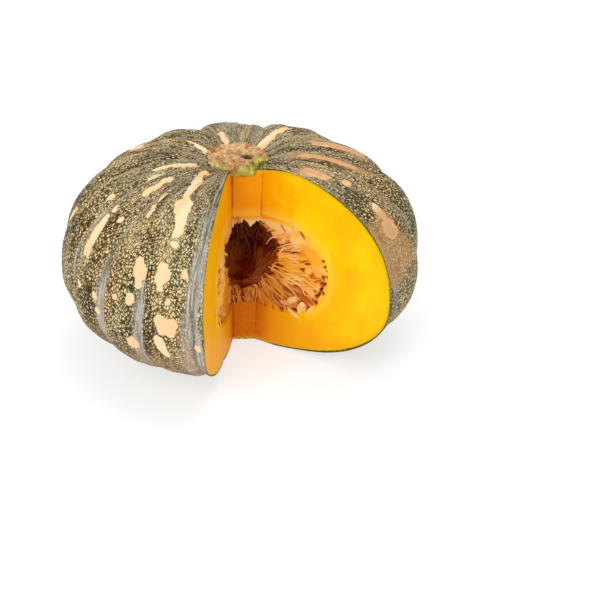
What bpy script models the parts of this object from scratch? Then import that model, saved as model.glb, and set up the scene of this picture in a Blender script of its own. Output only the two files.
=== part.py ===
"""A ribbed winter pumpkin with one wedge cut out of it, down to its open seed hollow.

Three solids, in metres, +Z up, standing on the floor at z = 0 with the stem's axis on Z:
the fruit (rind and flesh), the corky stem stub, and the stringy pulp with its seeds.
"""
import math
import random

import bmesh
import bpy
from mathutils import Matrix, Vector

MM = 0.001

# Outer form of the fruit, between its crests
CREST_RADIUS = 121.5 * MM
WIDEST_HEIGHT = 59.7 * MM
TOP_RISE = 80.0 * MM
BOTTOM_DROP = 61.0 * MM
TOP_ROUNDNESS = 2.28
BOTTOM_ROUNDNESS = 2.26
BASIN_DEPTH = 12.2 * MM
BASIN_WIDTH = 31.7 * MM

# Ribs: the azimuth of each groove, counted from +X towards +Y
GROOVES = (-160, -140, -123, -105, -82, -57, -31, -5, 17, 43, 76, 112, 139, 158, 178)
GROOVE_DEPTH = 6.0 * MM
GROOVE_SHARPNESS = 0.55
RIB_FADE_RADIUS = 60 * MM
COLUMNS_PER_RIB = 6
FRUIT_RINGS = 24

# The wedge cut: two long faces and a narrow one between them, just in front of the axis
CORE_FRONT = -10.6 * MM
CORE_X_AT_FLOOR = (-7.0 * MM, 8.6 * MM)
CORE_X_AT_TOP = (-5.2 * MM, 15.6 * MM)
CORE_TOP_HEIGHT = 130 * MM
LEFT_FACE_AZIMUTH = -99.8
RIGHT_FACE_AZIMUTH = -35.8
FACE_REACH = 175 * MM
CUT_BELOW = -20 * MM
CUT_ABOVE = 160 * MM

# The seed cavity in the flesh and the open hollow in the pulp
CAVITY_RADIUS = 71.5 * MM
CAVITY_CENTRE = 62 * MM
CAVITY_HALF_HEIGHT = 37.5 * MM
CAVITY_ROUNDNESS = 2.5
CAVITY_DIMPLE = 6.0 * MM
CAVITY_DIMPLE_WIDTH = 25 * MM
HOLLOW_RADIUS = 34 * MM
HOLLOW_CENTRE = 65 * MM
HOLLOW_HALF_HEIGHT = 27 * MM
HOLLOW_TAPER = 0.3
LUMP_HEIGHT = 3.0 * MM
CAVITY_COLUMNS = 24
CAVITY_RINGS = 12
GAP = 0.3 * MM

# Corky stub of the stem, sunk in a socket of its own outline
STEM_CENTRE = (-2.0 * MM, 2.5 * MM)
STEM_RADIUS = 20 * MM
STEM_DEPTH_RATIO = 0.9
STEM_BOTTOM = 123.5 * MM
STEM_SHOULDER = 130.0 * MM
STEM_TOP = 136.5 * MM
STEM_RIBS = 5
STEM_RIB_HEIGHT = 0.07
STEM_PIT = (5.5 * MM, 0.5 * MM)
STEM_PIT_RADIUS = 4.5 * MM
STEM_PIT_DEPTH = 3.0 * MM
STEM_COLUMNS = 35
STEM_RINGS = 12

# Strands and seeds that stand out of the pulp
STRAND_RADIUS = 1.1 * MM
STRAND_STEPS = 4
SKIN_OF_PULP = 3 * MM
STRAND_SIDES = 4
FACE_STRANDS = 13
WALL_STRANDS = 22
SEED_SIZE = (14 * MM, 8 * MM, 3.4 * MM)
FACE_SEEDS = 6
WALL_SEEDS = 12
SEED_OF_DRAWS = 11


def start_empty():
    """Remove every object of the open scene."""
    for thing in list(bpy.data.objects):
        bpy.data.objects.remove(thing, do_unlink=True)


def new_collection(name):
    """A collection linked to the scene."""
    group = bpy.data.collections.new(name)
    bpy.context.scene.collection.children.link(group)
    return group


def new_object(name, bm, group):
    """Turn a bmesh into an object with its faces pointing out."""
    bmesh.ops.recalc_face_normals(bm, faces=bm.faces)
    mesh = bpy.data.meshes.new(name)
    bm.to_mesh(mesh)
    bm.free()
    thing = bpy.data.objects.new(name, mesh)
    group.objects.link(thing)
    return thing


def make_material(thing, name, colour, roughness):
    """A plain finish of one colour for one solid."""
    material = bpy.data.materials.new(name)
    material.use_nodes = True
    shader = material.node_tree.nodes["Principled BSDF"]
    shader.inputs["Base Color"].default_value = (*colour, 1.0)
    shader.inputs["Roughness"].default_value = roughness
    shader.inputs["Metallic"].default_value = 0.0
    thing.data.materials.clear()
    thing.data.materials.append(material)


def signed_power(value, power):
    """A power that keeps the sign."""
    return math.copysign(abs(value) ** power, value)


def spun_form(columns, rings, place):
    """A closed sphere of columns and rings whose points are moved by place(column, latitude)."""
    bm = bmesh.new()
    bmesh.ops.create_uvsphere(bm, u_segments=columns, v_segments=rings, radius=1.0)
    for vert in bm.verts:
        latitude = math.asin(max(-1.0, min(1.0, vert.co.z)))
        turn = math.atan2(vert.co.y, vert.co.x) / math.tau
        column = round(turn * columns) % columns
        vert.co = place(column, latitude)
    return bm


def polar(radius, azimuth, height):
    """A point from its distance to the Z axis, its azimuth and its height."""
    return Vector((radius * math.cos(azimuth), radius * math.sin(azimuth), height))


def fruit_profile(latitude):
    """Distance to the axis and height of a crest of the fruit."""
    side, rise = abs(math.cos(latitude)), math.sin(latitude)
    upper = rise > 0
    roundness = TOP_ROUNDNESS if upper else BOTTOM_ROUNDNESS
    reach = TOP_RISE if upper else BOTTOM_DROP
    radius = CREST_RADIUS * side ** (2 / roundness)
    height = WIDEST_HEIGHT + reach * signed_power(rise, 2 / roundness)
    if upper:
        height -= BASIN_DEPTH * math.exp(-((radius / BASIN_WIDTH) ** 2))
    return radius, height


def fruit_point(column, latitude):
    """A point of the ribbed skin: the crest's profile, pushed in towards each groove."""
    rib, step = divmod(column, COLUMNS_PER_RIB)
    start = GROOVES[rib]
    end = GROOVES[rib + 1] if rib + 1 < len(GROOVES) else GROOVES[0] + 360
    share = step / COLUMNS_PER_RIB
    azimuth = math.radians(start + (end - start) * share)
    groove = 1 - math.sin(math.pi * share) ** GROOVE_SHARPNESS
    radius, height = fruit_profile(latitude)
    nudge = 0.001
    outer, inner = fruit_profile(latitude - nudge), fruit_profile(latitude + nudge)
    along = Vector((inner[0] - outer[0], inner[1] - outer[1])).normalized()
    depth = GROOVE_DEPTH * groove * min(1.0, radius / RIB_FADE_RADIUS) ** 0.7
    return polar(radius - along.y * depth, azimuth, height + along.x * depth)


def cavity_point(shrink):
    """Rule for the wall of the seed cavity, drawn in by shrink."""
    def place(column, latitude):
        azimuth = math.tau * column / CAVITY_COLUMNS
        power = 2 / CAVITY_ROUNDNESS
        radius = (CAVITY_RADIUS - shrink) * abs(math.cos(latitude)) ** power
        steep = abs(math.sin(latitude))
        dimple = CAVITY_DIMPLE * math.exp(-((radius / CAVITY_DIMPLE_WIDTH) ** 2))
        rise = (CAVITY_HALF_HEIGHT - shrink) * steep ** power - dimple * steep
        return polar(radius, azimuth, CAVITY_CENTRE + math.copysign(rise, latitude))
    return place


def hollow_point(column, latitude):
    """The open hollow inside the pulp: lumpy, and narrower towards the floor."""
    azimuth = math.tau * column / CAVITY_COLUMNS
    taper = 1 - HOLLOW_TAPER * max(0.0, -math.sin(latitude))
    lump = math.sin(3 * azimuth + 4 * latitude) + 0.6 * math.sin(7 * azimuth - 5 * latitude)
    radius = (HOLLOW_RADIUS * taper + LUMP_HEIGHT * lump) * math.cos(latitude)
    return polar(radius, azimuth, HOLLOW_CENTRE + HOLLOW_HALF_HEIGHT * math.sin(latitude))


def stem_point(grow):
    """Rule for the stub: a flat foot, an upright wall and a low dome with a pit in it."""
    def place(column, latitude):
        azimuth = math.tau * column / STEM_COLUMNS
        wave = 1 + STEM_RIB_HEIGHT * math.cos(STEM_RIBS * azimuth) + 0.03 * math.sin(3 * azimuth)
        degrees = math.degrees(latitude)
        if degrees < -60:
            share, height = (degrees + 90) / 30, STEM_BOTTOM - grow
        elif degrees < 0:
            share = 1.0
            height = STEM_BOTTOM - grow + (STEM_SHOULDER - STEM_BOTTOM + grow) * (degrees + 60) / 60
        else:
            share = math.cos(latitude) ** 0.6
            height = STEM_SHOULDER + (STEM_TOP - STEM_SHOULDER) * math.sin(latitude) ** 0.7
        reach = (STEM_RADIUS * wave + grow) * share
        x = STEM_CENTRE[0] + reach * math.cos(azimuth)
        y = STEM_CENTRE[1] + reach * STEM_DEPTH_RATIO * math.sin(azimuth)
        if degrees > 0:
            away = math.hypot(x - STEM_PIT[0], y - STEM_PIT[1]) / STEM_PIT_RADIUS
            height -= STEM_PIT_DEPTH * math.exp(-away ** 2)
        return Vector((x, y, height))
    return place


def core_corner(side, height):
    """Where a long cut face meets the narrow one: side 0 is the left, 1 the right."""
    share = height / CORE_TOP_HEIGHT
    x = CORE_X_AT_FLOOR[side] + (CORE_X_AT_TOP[side] - CORE_X_AT_FLOOR[side]) * share
    return Vector((x, CORE_FRONT, height))


def face_direction(side):
    """Level direction of a long cut face, outwards from the core."""
    azimuth = math.radians((LEFT_FACE_AZIMUTH, RIGHT_FACE_AZIMUTH)[side])
    return Vector((math.cos(azimuth), math.sin(azimuth), 0))


def far_corner(side, height):
    """Outer end of a long cut face, which is upright there."""
    middle = core_corner(side, CORE_TOP_HEIGHT / 2)
    end = middle + face_direction(side) * FACE_REACH
    return Vector((end.x, end.y, height))


def make_notch_cutter(group):
    """The removed wedge: a prism with four walls, wider at the core's top than at its foot."""
    bm = bmesh.new()
    loops = []
    for height in (CUT_BELOW, CUT_ABOVE):
        left = (core_corner(0, height), far_corner(0, height))
        right = (far_corner(1, height), core_corner(1, height))
        loops.append([bm.verts.new(corner) for corner in left + right])
    bm.faces.new(loops[0])
    bm.faces.new(loops[1])
    for index in range(4):
        following = (index + 1) % 4
        bm.faces.new((loops[0][index], loops[0][following], loops[1][following], loops[1][index]))
    return as_cutter(new_object("wedge_cutter", bm, group))


def make_floor_cutter(group):
    """A block below the floor, which flattens the spot that the fruit stands on."""
    bm = bmesh.new()
    side, depth = 0.3, 0.05
    bmesh.ops.create_cube(bm, size=1.0)
    bmesh.ops.scale(bm, vec=(side, side, depth), verts=bm.verts)
    bmesh.ops.translate(bm, vec=(0, 0, -depth / 2), verts=bm.verts)
    return as_cutter(new_object("floor_cutter", bm, group))


def make_socket_cutter(group):
    """The stem's outline, grown by the gap and drawn up clear of the basin."""
    bm = spun_form(STEM_COLUMNS, STEM_RINGS, stem_point(GAP))
    for vert in bm.verts:
        if vert.co.z > STEM_SHOULDER - 1 * MM:
            vert.co.z += 20 * MM
    return as_cutter(new_object("socket_cutter", bm, group))


def as_cutter(thing):
    """Mark an object as a guide that is never seen."""
    thing.hide_render = True
    thing.display_type = 'WIRE'
    return thing


def cut(thing, cutter):
    """Take one solid out of another."""
    modifier = thing.modifiers.new("cut by " + cutter.name, 'BOOLEAN')
    modifier.operation = 'DIFFERENCE'
    modifier.object = cutter
    modifier.solver = 'EXACT'


def make_fruit(group, cutters, notch):
    """Rind and flesh in one piece, with the wedge, the seed cavity and the stem's socket cut out."""
    columns = COLUMNS_PER_RIB * len(GROOVES)
    fruit = new_object("fruit", spun_form(columns, FRUIT_RINGS, fruit_point), group)
    cavity = spun_form(CAVITY_COLUMNS, CAVITY_RINGS, cavity_point(0.0))
    cut(fruit, as_cutter(new_object("cavity_cutter", cavity, cutters)))
    cut(fruit, make_socket_cutter(cutters))
    cut(fruit, notch)
    cut(fruit, make_floor_cutter(cutters))
    make_material(fruit, "grey green rind", (0.16, 0.17, 0.08), 0.5)


def make_stem(group, notch):
    """The dry stub left where the fruit was cut from its vine."""
    stem = new_object("stem", spun_form(STEM_COLUMNS, STEM_RINGS, stem_point(0.0)), group)
    cut(stem, notch)
    make_material(stem, "corky stem", (0.5, 0.3, 0.12), 0.85)


def make_strand(points, group):
    """A tapered fibre with flat sides, through a few points."""
    bm = bmesh.new()
    loops = []
    for index, point in enumerate(points):
        ahead = points[min(index + 1, len(points) - 1)] - points[max(index - 1, 0)]
        turn = ahead.to_track_quat('Z', 'Y').to_matrix()
        radius = STRAND_RADIUS * (1.25 - 0.55 * index / (len(points) - 1))
        loop = []
        for side in range(STRAND_SIDES):
            corner = turn @ polar(radius, math.tau * side / STRAND_SIDES, 0)
            loop.append(bm.verts.new(point + corner))
        loops.append(loop)
    bm.faces.new(loops[0])
    bm.faces.new(loops[-1])
    for lower, upper in zip(loops, loops[1:]):
        for side in range(STRAND_SIDES):
            following = (side + 1) % STRAND_SIDES
            bm.faces.new((lower[side], lower[following], upper[following], upper[side]))
    return new_object("strand", bm, group)


def make_seed(place, group):
    """One flat oval seed at its place."""
    bm = bmesh.new()
    bmesh.ops.create_uvsphere(bm, u_segments=8, v_segments=5, radius=0.5)
    bmesh.ops.scale(bm, vec=SEED_SIZE, verts=bm.verts)
    bmesh.ops.transform(bm, matrix=place, verts=bm.verts)
    return new_object("seed", bm, group)


def hollow_reach(height):
    """Rough radius of the open hollow at a height."""
    share = max(-1.0, min(1.0, (height - HOLLOW_CENTRE) / HOLLOW_HALF_HEIGHT))
    return HOLLOW_RADIUS * math.sqrt(1 - share ** 2)


def cavity_reach(height):
    """Radius of the seed cavity at a height."""
    share = min(1.0, abs(height - CAVITY_CENTRE) / CAVITY_HALF_HEIGHT)
    return CAVITY_RADIUS * (1 - share ** CAVITY_ROUNDNESS) ** (1 / CAVITY_ROUNDNESS)


def held_inside(reach, height):
    """A height moved, where it has to be, to stay within the pulp at a distance from the axis."""
    share = min(0.97, reach / CAVITY_RADIUS)
    room = CAVITY_HALF_HEIGHT * (1 - share ** CAVITY_ROUNDNESS) ** (1 / CAVITY_ROUNDNESS)
    room -= CAVITY_DIMPLE * math.exp(-((reach / CAVITY_DIMPLE_WIDTH) ** 2)) + SKIN_OF_PULP
    return CAVITY_CENTRE + max(-room, min(room, height - CAVITY_CENTRE))


def face_point(side, reach, height):
    """A point on a long cut face, at a distance from the axis and a height."""
    return core_corner(side, height) + face_direction(side) * max(0.0, reach - 16 * MM)


def make_face_strands(draw, side, group):
    """Fibres that lie in a cut face, from the flesh to the hollow."""
    for index in range(FACE_STRANDS):
        share = (index + 0.5) / FACE_STRANDS
        height = CAVITY_CENTRE + CAVITY_HALF_HEIGHT * (1.7 * share - 0.85)
        outer = cavity_reach(height) - SKIN_OF_PULP
        inner = max(20 * MM, hollow_reach(height) - draw.uniform(2, 6) * MM)
        sag = draw.uniform(-6, 6) * MM
        points = []
        for step in range(STRAND_STEPS + 1):
            along = step / STRAND_STEPS
            reach = outer + (inner - outer) * along
            bow = sag * math.sin(math.pi * along) + draw.uniform(-1, 1) * MM
            drift = (CAVITY_CENTRE - height) * 0.35 * along
            points.append(face_point(side, reach, held_inside(reach, height + bow + drift)))
        make_strand(points, group)


def make_wall_strands(draw, group):
    """Fibres that hang over the hollow's wall, behind the core."""
    for index in range(WALL_STRANDS):
        azimuth = math.radians(-20 + 260 * (index + 0.5) / WALL_STRANDS)
        low, high = draw.uniform(42, 56) * MM, draw.uniform(72, 86) * MM
        lean = draw.uniform(-0.35, 0.35)
        points = []
        for step in range(STRAND_STEPS + 1):
            along = step / STRAND_STEPS
            height = low + (high - low) * along
            reach = hollow_reach(height) - 1.5 * MM - 2.5 * MM * math.sin(math.pi * along)
            if step in (0, STRAND_STEPS):
                reach += 7 * MM
            points.append(polar(reach, azimuth + lean * along, height))
        make_strand(points, group)


def make_seeds(draw, group):
    """Seeds half sunk in the cut faces and in the wall of the hollow."""
    for side in (0, 1):
        normal = face_direction(side).cross(Vector((0, 0, 1)))
        for index in range(FACE_SEEDS):
            height = CAVITY_CENTRE + CAVITY_HALF_HEIGHT * (-0.75 + 1.4 * index / (FACE_SEEDS - 1))
            centre = face_point(side, cavity_reach(height) - draw.uniform(10, 14) * MM, height)
            turn = normal.to_track_quat('Z', 'Y').to_matrix().to_4x4()
            spin = Matrix.Rotation(math.radians(draw.uniform(-40, 40)), 4, 'Z')
            make_seed(Matrix.Translation(centre) @ turn @ spin, group)
    for index in range(WALL_SEEDS):
        azimuth = math.radians(-10 + 240 * (index + 0.5) / WALL_SEEDS)
        height = draw.uniform(44, 80) * MM
        centre = polar(hollow_reach(height) + 1 * MM, azimuth, height)
        inward = Vector((-math.cos(azimuth), -math.sin(azimuth), 0))
        turn = inward.to_track_quat('Z', 'Y').to_matrix().to_4x4()
        spin = Matrix.Rotation(math.radians(draw.uniform(-60, 60)), 4, 'Z')
        make_seed(Matrix.Translation(centre) @ turn @ spin, group)


def join_collection(thing, group):
    """Grow one solid together with every object of a collection, then drop the collection."""
    modifier = thing.modifiers.new("grown together", 'BOOLEAN')
    modifier.operation = 'UNION'
    modifier.operand_type = 'COLLECTION'
    modifier.collection = group
    modifier.solver = 'MANIFOLD'
    bake(thing)
    keep_largest_body(thing)
    for part in list(group.objects):
        bpy.data.objects.remove(part, do_unlink=True)
    bpy.data.collections.remove(group)


def connected_points(start):
    """Every point of a mesh that edges join to a first one."""
    found, waiting = {start}, [start]
    while waiting:
        for edge in waiting.pop().link_edges:
            for vert in edge.verts:
                if vert not in found:
                    found.add(vert)
                    waiting.append(vert)
    return found


def keep_largest_body(thing):
    """Fill the small gaps that were sealed between strands, and drop loose scraps."""
    bm = bmesh.new()
    bm.from_mesh(thing.data)
    left, bodies = set(bm.verts), []
    while left:
        body = connected_points(next(iter(left)))
        bodies.append(body)
        left -= body
    bodies.sort(key=len)
    for body in bodies[:-1]:
        bmesh.ops.delete(bm, geom=list(body), context='VERTS')
    bm.to_mesh(thing.data)
    bm.free()


def bake(thing):
    """Replace an object's mesh by what its modifiers make of it."""
    bpy.context.view_layer.update()
    evaluated = thing.evaluated_get(bpy.context.evaluated_depsgraph_get())
    mesh = bpy.data.meshes.new_from_object(evaluated)
    thing.modifiers.clear()
    thing.data = mesh


def make_pulp(group, cutters, notch):
    """The stringy lining of the cavity, with its hollow, strands and seeds."""
    pulp = new_object("pulp", spun_form(CAVITY_COLUMNS, CAVITY_RINGS, cavity_point(GAP)), group)
    hollow = spun_form(CAVITY_COLUMNS, CAVITY_RINGS, hollow_point)
    cut(pulp, as_cutter(new_object("hollow_cutter", hollow, cutters)))
    cut(pulp, notch)
    bake(pulp)
    draw = random.Random(SEED_OF_DRAWS)
    repeats = new_collection("pulp repeats")
    make_face_strands(draw, 0, repeats)
    make_face_strands(draw, 1, repeats)
    make_wall_strands(draw, repeats)
    make_seeds(draw, repeats)
    join_collection(pulp, repeats)
    make_material(pulp, "stringy pulp", (0.9, 0.5, 0.1), 0.5)


def main():
    """Build the three solids."""
    start_empty()
    group = new_collection("pumpkin")
    cutters = new_collection("cutters")
    notch = make_notch_cutter(cutters)
    make_fruit(group, cutters, notch)
    make_stem(group, notch)
    make_pulp(group, cutters, notch)


main()
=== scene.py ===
"""The looks of a ribbed winter pumpkin with one wedge cut out: skin, flesh, pulp, seeds and stem."""
import math

import bpy
import numpy as np
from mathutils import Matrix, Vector


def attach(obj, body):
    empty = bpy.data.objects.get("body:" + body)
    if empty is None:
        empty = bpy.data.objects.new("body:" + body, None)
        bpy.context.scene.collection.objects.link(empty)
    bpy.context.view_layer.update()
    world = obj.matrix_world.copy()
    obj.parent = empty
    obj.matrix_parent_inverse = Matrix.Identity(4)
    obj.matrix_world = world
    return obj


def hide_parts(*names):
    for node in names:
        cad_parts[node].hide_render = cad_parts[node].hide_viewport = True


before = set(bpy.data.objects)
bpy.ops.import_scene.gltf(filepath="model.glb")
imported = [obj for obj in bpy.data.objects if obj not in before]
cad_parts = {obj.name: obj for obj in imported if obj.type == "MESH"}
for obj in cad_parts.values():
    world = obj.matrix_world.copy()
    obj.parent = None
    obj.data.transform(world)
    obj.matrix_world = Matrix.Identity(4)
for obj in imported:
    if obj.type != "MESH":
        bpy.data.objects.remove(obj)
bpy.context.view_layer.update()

MM = 0.001

# Outer form of the fruit between its crests, as the solid has it
CREST_RADIUS = 121.5 * MM
WIDEST_HEIGHT = 59.7 * MM
TOP_RISE = 80.0 * MM
BOTTOM_DROP = 61.0 * MM
TOP_ROUNDNESS = 2.28
BOTTOM_ROUNDNESS = 2.26
BASIN_DEPTH = 12.2 * MM
BASIN_WIDTH = 31.7 * MM
RIB_FADE_RADIUS = 60 * MM
GROOVE_DEPTH = 6.0 * MM
GROOVE_SHARPNESS = 0.55

# Each groove: azimuth in degrees from +X, half width in mm of the grey band along it, its share of the
# groove depth, and how much of the band's width is left on the upper half
GROOVES = (
    (-160, 4.0, 1.0, 0.5), (-140, 4.2, 0.8, 0.45), (-123, 3.0, 0.18, 0.05), (-105, 7.5, 0.75, 0.85),
    (-82, 5.0, 1.0, 0.6), (-57, 5.0, 1.0, 0.6), (-31, 2.5, 0.8, 0.3), (-5, 3.5, 1.0, 0.5),
    (17, 4.5, 1.0, 0.5), (43, 5.0, 0.9, 0.5), (76, 5.5, 1.0, 0.6), (112, 5.0, 0.9, 0.4),
    (139, 5.0, 1.0, 0.6), (158, 4.5, 0.9, 0.4), (178, 4.5, 1.0, 0.6),
)

# The wedge cut: two long faces and a narrow one between them, just in front of the axis
CORE_FRONT = -10.6 * MM
CORE_X_AT_FLOOR = (-7.0 * MM, 8.6 * MM)
CORE_X_AT_TOP = (-5.2 * MM, 15.6 * MM)
CORE_TOP_HEIGHT = 130 * MM
LEFT_FACE_AZIMUTH = -99.8
RIGHT_FACE_AZIMUTH = -35.8
FACE_REACH = 175 * MM
CUT_BELOW = -20 * MM
CUT_ABOVE = 160 * MM

# The seed cavity in the flesh
CAVITY_RADIUS = 71.5 * MM
CAVITY_CENTRE = 62 * MM
CAVITY_HALF_HEIGHT = 37.5 * MM
CAVITY_ROUNDNESS = 2.5
CAVITY_DIMPLE = 6.0 * MM
CAVITY_DIMPLE_WIDTH = 25 * MM

# The open hollow in the pulp
HOLLOW_RADIUS = 34 * MM
HOLLOW_CENTRE = 65 * MM
HOLLOW_HALF_HEIGHT = 27 * MM
HOLLOW_TAPER = 0.3

# Pulp on the long cut faces, in mm from the core corner and above the floor: where its fibres
# meet, and the dark pockets as reach, height, half length, half width and lean in degrees
FIBRE_CENTRES = ((8.0, 62.0), (-10.0, 64.0))
POCKETS = (
    (
        (63.5, 56.0, 3.0, 1.2, 80), (41.0, 37.5, 2.6, 1.2, 20), (52.0, 42.5, 2.6, 1.0, 50),
        (64.5, 68.0, 2.2, 1.0, 90), (60.0, 80.0, 2.4, 1.0, 110), (50.0, 90.0, 3.0, 1.0, 150),
        (33.0, 34.0, 3.0, 1.2, 10), (34.0, 94.0, 3.0, 0.9, 0),
    ),
    (
        (26.2, 94.0, 4.2, 1.1, -62), (33.5, 89.5, 3.6, 1.0, -50), (43.0, 88.5, 2.4, 1.0, 15),
        (18.0, 90.5, 3.0, 0.7, -50), (50.7, 75.1, 1.8, 0.7, 20), (52.8, 71.5, 1.9, 0.8, 40),
        (54.5, 68.6, 1.3, 0.8, 70), (51.4, 63.7, 1.5, 1.2, 0), (54.2, 64.7, 1.0, 0.9, 0),
        (51.0, 57.9, 1.8, 1.2, 20), (53.6, 59.0, 1.1, 0.8, 60), (49.9, 53.4, 1.9, 1.0, 60),
        (52.0, 51.6, 1.4, 1.1, 80), (46.8, 47.6, 1.9, 1.2, 10), (49.0, 50.0, 1.6, 0.9, 60),
        (46.6, 42.2, 1.6, 1.0, 70), (44.6, 43.4, 1.4, 0.7, -40), (24.5, 37.8, 3.4, 1.4, 20),
        (37.5, 29.5, 3.4, 1.2, -15), (30.0, 32.0, 3.0, 1.2, 10), (41.0, 35.6, 2.4, 1.2, 60),
    ),
)

# Seeds that show: side of the cut, reach, height and lean in degrees, and how far they stand out in mm
SEEDS = (
    (1, 28.4, 38.6, 50, 0.6), (1, 36.0, 34.6, 84, 0.7), (1, 28.6, 29.2, -25, 0.5), (1, 43.0, 33.6, 70, 0.0),
    (1, 25.2, 94.4, -62, -0.4), (1, 22.5, 34.5, 15, -0.4), (0, 63.0, 57.0, 78, 0.3), (0, 40.5, 53.5, 60, 0.0),
    (0, 34.0, 40.5, 30, 0.3), (0, 49.0, 42.5, 50, 0.3), (0, 58.0, 76.0, 110, 0.0),
)
SEED_LENGTH = 12 * MM
SEED_WIDTH = 6.8 * MM
SEED_THICKNESS = 2.6 * MM
SEED_SINK = 1.4

# The stub of the stem: a wall, whose height takes up 60 degrees of its sphere, and a dome that bulges out
# from the heart
STEM_CENTRE = (-2.0 * MM, 2.5 * MM)
STEM_RADIUS = 20.0 * MM
STEM_DEPTH_RATIO = 0.9
STEM_BOTTOM = 121.0 * MM
STEM_SHOULDER = 130.0 * MM
STEM_DOME = 5.3 * MM
STEM_HEART = 124 * MM
STEM_RIBS = 5
STEM_WALL = 60
STEM_PIT = (5.0 * MM, 0.0 * MM)
STEM_PIT_RADIUS = 4.2 * MM
STEM_PIT_DEPTH = 4.4 * MM

# Where the stem is green: azimuth, half width and how far up it reaches, in degrees on its sphere
STEM_GREENS = ((-34, 44, 78), (-150, 46, 56))

# How fine the meshes are
SKIN_COLUMNS, SKIN_RINGS = 28 * len(GROOVES), 170
CAVITY_COLUMNS, CAVITY_RINGS = 96, 48
PULP_COLUMNS, PULP_RINGS = 200, 100
FINE_COLUMNS, FINE_RINGS = 260, 150
KNIFE_CUTS, PULP_KNIFE_CUTS = 136, 150

# A face is flesh where its points lie this many mm under the skin, or where it is level and close enough
# to a knife's plane; the flat base stays rind
FLESH_DEPTH = 2.4
CUT_LEVEL = 0.93
KNIFE_SLACK = 4 * MM
CORE_SLACK = 1 * MM
BASE_SLACK = 0.2 * MM
BELOW_REACH = 200 * MM

# Cream streaks and blotches: half width in mm, then points of azimuth and latitude in degrees
BLOTCHES = (
    (2.3, ((-132.7, 77.5), (-126, 72), (-124.3, 67), (-123, 60))), (5.6, ((-122.3, 60.5), (-119.4, 53))),
    (3.8, ((-119.2, 53.5), (-117, 49), (-116.2, 43.5))), (3.0, ((-115.3, 41), (-115, 38))),
    (5.2, ((-125.4, 27.3), (-124.8, 23.2))), (2.8, ((-127, 31), (-125, 25), (-123.9, 18))),
    (5.6, ((-116.2, 28.1), (-116.6, 23.7))), (3.2, ((-117.2, 31), (-116.7, 26), (-116.3, 19.5))),
    (2.0, ((-109.7, 29.5), (-108.3, 26))), (3.6, ((-126.7, 15), (-126.3, 10.5))),
    (2.2, ((-132.3, 12.5), (-131.5, 10.4))), (4.9, ((-115.9, 8.7), (-113.2, 1.8))),
    (4.7, ((-110.7, 8.2), (-113.2, 1.8))), (3.2, ((-116, 1), (-115.3, -3), (-113.7, -11))),
    (4.2, ((-125.7, -4), (-124.7, -9))), (4.6, ((-152.2, 35), (-151.7, 29), (-151.3, 20.5))),
    (3.0, ((-153, 40), (-152.4, 33))), (2.3, ((-146.3, 67), (-146.2, 61), (-147, 54))),
    (1.7, ((-161.3, 67), (-161.3, 59))), (1.6, ((-163, 79), (-165.7, 72), (-166.3, 64))),
    (2.2, ((151, 81), (145, 76), (137, 69))), (2.2, ((107.3, 80), (107.7, 72))),
    (2.6, ((53, 82), (53.7, 75), (55, 63))), (3.6, ((26, 66), (25.5, 52), (25, 40))),
    (3.6, ((-26, 70), (-25, 65), (-24.5, 61))), (3.2, ((-21, 56), (-21.3, 53))),
    (3.2, ((-22.5, 41), (-24, 33))), (6.4, ((-23.5, 33), (-26, 24.5))), (2.4, ((-135.3, 54), (-134, 48))),
    (1.6, ((-136.7, 60), (-135.7, 55.5))), (1.4, ((-151, 9), (-149.5, 6))), (2.2, ((-143, 8), (-142, 4))),
    (2.0, ((-141.7, 1.6), (-141.3, -0.5))), (2.6, ((-104, -2), (-104, -4.5))),
    (2.0, ((176, 24), (175, 15))), (1.6, ((-146, 43), (-145, 40))), (1.5, ((-164, 46.5), (-163.7, 42))),
    (2.2, ((-113.3, 17), (-112.7, 15))), (1.8, ((-0.5, 74), (0.5, 64), (-1, 52))),
    (1.6, ((-153.3, 46), (-152.3, 42.5))), (2.4, ((12, 30), (10, 20))), (4.5, ((33, 30), (31, 18))),
    (5.0, ((62, 34), (60, 22), (61, 14))), (3.0, ((88, 60), (90, 44))), (5.5, ((96, 22), (97, 12))),
    (4.0, ((122, 48), (124, 34))), (6.0, ((128, 16), (126, 8))), (3.2, ((149, 54), (147, 40))),
    (4.6, ((166, 10), (168, 2))), (3.4, ((70, -4), (68, -12))), (4.2, ((30, -2), (28, -10))),
    (3.0, ((110, -6), (112, -16))),
)

# Russet areas, in the same form as the blotches
RUSSETS = (
    (14.0, ((-34, 34), (-32, 20), (-31, 4))), (11.0, ((-23, 25), (-24, 8))),
    (9.0, ((-22.5, 37), (-24.5, 31), (-26, 25))), (6.0, ((28, 68), (25.5, 52), (25, 38))),
    (4.0, ((-0.5, 77), (0.5, 64), (-1, 46))), (5.5, ((-26.5, 72), (-24.5, 60))),
    (3.4, ((-21, 57), (-21.3, 52))), (3.5, ((20, 30), (19, 26))), (9.0, ((50, -10), (44, -22))),
    (1.8, ((-109, 5), (-107, -6), (-106, -18))), (1.4, ((-118, -6), (-117, -20))),
    (1.2, ((-148, -8), (-140, -14))),
)


def colour(hex_value):
    """An sRGB hex colour as the linear values that Blender's sockets take."""
    channels = [int(hex_value[start:start + 2], 16) / 255 for start in (1, 3, 5)]
    linear = [value / 12.92 if value <= 0.04045 else ((value + 0.055) / 1.055) ** 2.4 for value in channels]
    return (*linear, 1.0)


def only(piece):
    """Select one object alone and make it the active one."""
    bpy.ops.object.select_all(action='DESELECT')
    piece.select_set(True)
    bpy.context.view_layer.objects.active = piece


def read_rows(items, name, width=3):
    """A value of each point or face, as one row each."""
    rows = np.empty(len(items) * width)
    items.foreach_get(name, rows)
    return rows.reshape(-1, width)


def points_of(piece):
    """The places of a mesh's points, as rows of x, y, z."""
    return read_rows(piece.data.vertices, "co")


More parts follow.
